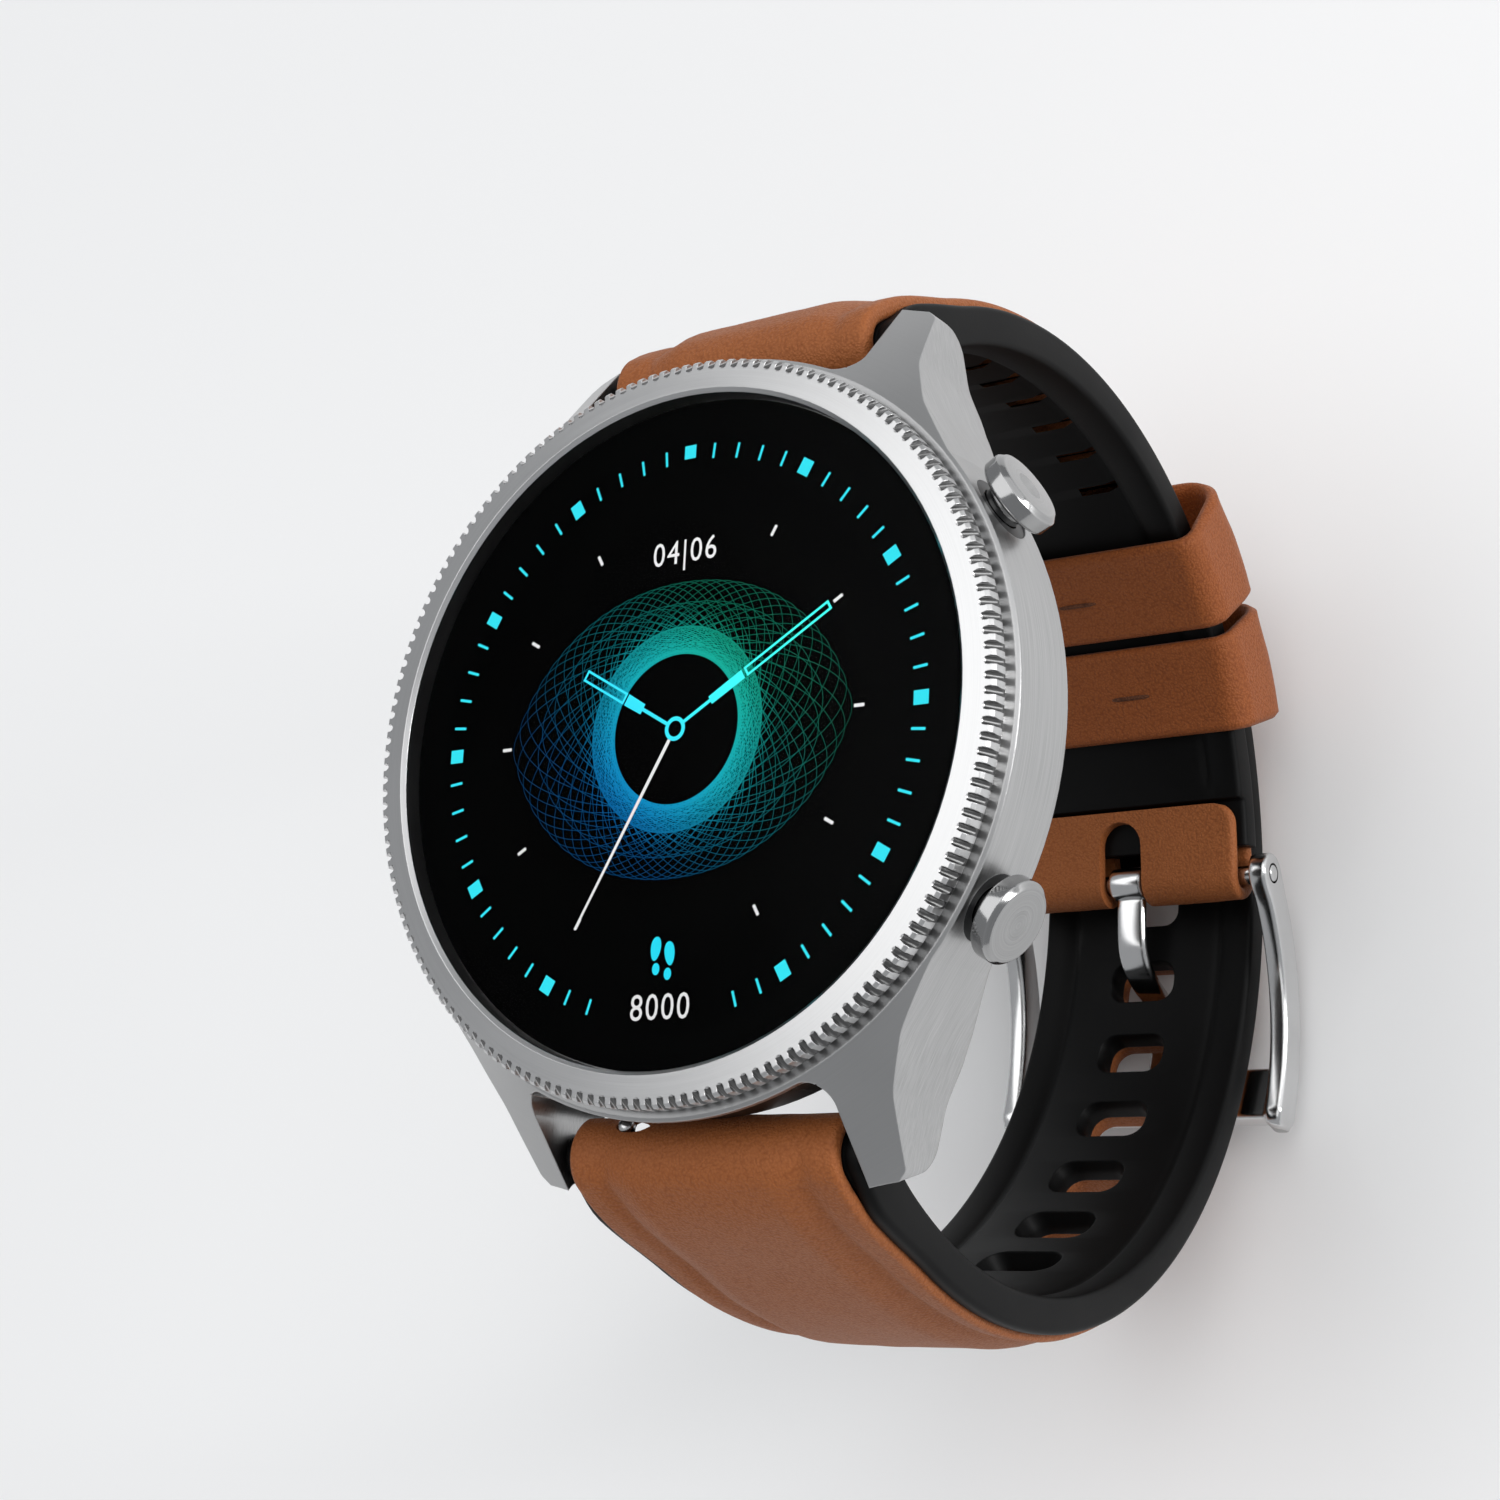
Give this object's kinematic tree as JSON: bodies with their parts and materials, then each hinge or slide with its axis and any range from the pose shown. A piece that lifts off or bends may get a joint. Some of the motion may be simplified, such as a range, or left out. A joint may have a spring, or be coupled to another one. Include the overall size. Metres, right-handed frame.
{
  "type": "smartwatch",
  "caption": "Round smartwatch with coin-edge bezel, two push buttons and a closed leather and rubber strap with pin buckle and keepers.",
  "frame": {"origin": "centre of the sensor face on the case back", "axes": "+Z along the dial's normal, out of the display; +Y towards 12 o'clock; +X towards 3 o'clock, between the two buttons"},
  "size_m": [0.0464, 0.0665, 0.0645],
  "materials": {
    "case_metal": "brushed along the circumference",
    "bezel_metal": "satin with a polished inner edge",
    "cover_glass": "polished",
    "display": "black glossy panel",
    "gasket": "matte black",
    "film": "amber flexible circuit",
    "frame_plastic": "moulded",
    "board": "green solder mask",
    "chips": "moulded packages",
    "shield": "stamped sheet",
    "cell": "silver pouch film",
    "motor_steel": "plain",
    "rear_plastic": "black",
    "sensor_glass": "polished dark window",
    "contact_gold": "gold plated",
    "screw_steel": "blackened",
    "sleeve": "black",
    "spring_steel": "plain",
    "button_metal": "polished side, spun face",
    "strap_rubber": "satin black silicone",
    "strap_leather": "brown, fine pebbled grain",
    "keeper_leather": "brown, creased grain",
    "buckle_steel": "polished"
  },
  "bodies": {
    "watch": {"case_body": "case_metal", "bezel_ring": "bezel_metal", "cover_glass": "cover_glass", "glass_gasket": "gasket", "touch_sensor": "display", "display_panel": "display", "display_flex": "film", "mid_frame": "frame_plastic", "main_board": "board", "board_components": "chips", "shield_can": "shield", "battery": "cell", "vibration_motor": "motor_steel", "side_switches": "chips", "rear_cover": "rear_plastic", "rear_gasket": "gasket", "sensor_board": "board", "sensor_parts": "chips", "sensor_window": "sensor_glass", "charge_contacts": "contact_gold", "rear_screws": "screw_steel", "upper_button_sleeve": "sleeve", "upper_button_spring": "spring_steel", "lower_button_sleeve": "sleeve", "lower_button_spring": "spring_steel", "upper_strap_lining": "strap_rubber", "upper_strap_leather": "strap_leather", "lower_strap_lining": "strap_rubber", "lower_strap_leather": "strap_leather", "fixed_keeper": "keeper_leather", "upper_spring_bar": "spring_steel", "upper_bar_spring": "spring_steel", "lower_spring_bar": "spring_steel", "lower_bar_spring": "spring_steel"},
    "upper_push": {"upper_button": "button_metal", "upper_button_clip": "spring_steel"},
    "lower_push": {"lower_button": "button_metal", "lower_button_clip": "spring_steel"},
    "upper_release": {"upper_release_pin": "spring_steel"},
    "lower_release": {"lower_release_pin": "spring_steel"},
    "loose_keeper": {"floating_keeper": "keeper_leather"},
    "buckle": {"buckle_frame": "buckle_steel", "buckle_pin": "buckle_steel"},
    "tongue": {"buckle_tongue": "buckle_steel"}
  },
  "joints": [
    {"name": "upper_button_push", "type": "slide", "parent": "watch", "child": "upper_push", "axis": [-0.866, -0.5, 0], "range_m": [0, 0.00055], "stiffness_N_per_m": 1500, "springref_m": -0.0005},
    {"name": "lower_button_push", "type": "slide", "parent": "watch", "child": "lower_push", "axis": [-0.866, 0.5, 0], "range_m": [0, 0.00055], "stiffness_N_per_m": 1500, "springref_m": -0.0005},
    {"name": "upper_pin_release", "type": "slide", "parent": "watch", "child": "upper_release", "axis": [1, 0, 0], "range_m": [0, 0.0012], "stiffness_N_per_m": 600, "springref_m": -0.002},
    {"name": "lower_pin_release", "type": "slide", "parent": "watch", "child": "lower_release", "axis": [1, 0, 0], "range_m": [0, 0.0012], "stiffness_N_per_m": 600, "springref_m": -0.002},
    {"name": "keeper_slide", "type": "hinge", "parent": "watch", "child": "loose_keeper", "pos_m": [0, 0, -0.0157], "axis": [1, 0, 0], "range_deg": [0, 20]},
    {"name": "buckle_hinge", "type": "hinge", "parent": "watch", "child": "buckle", "pos_m": [0, 0.00086, -0.04654], "axis": [1, 0, 0], "range_deg": [0, 2.5]},
    {"name": "tongue_hinge", "type": "hinge", "parent": "buckle", "child": "tongue", "pos_m": [0, 0.00086, -0.04654], "axis": [1, 0, 0], "range_deg": [0, 4]}
  ]
}
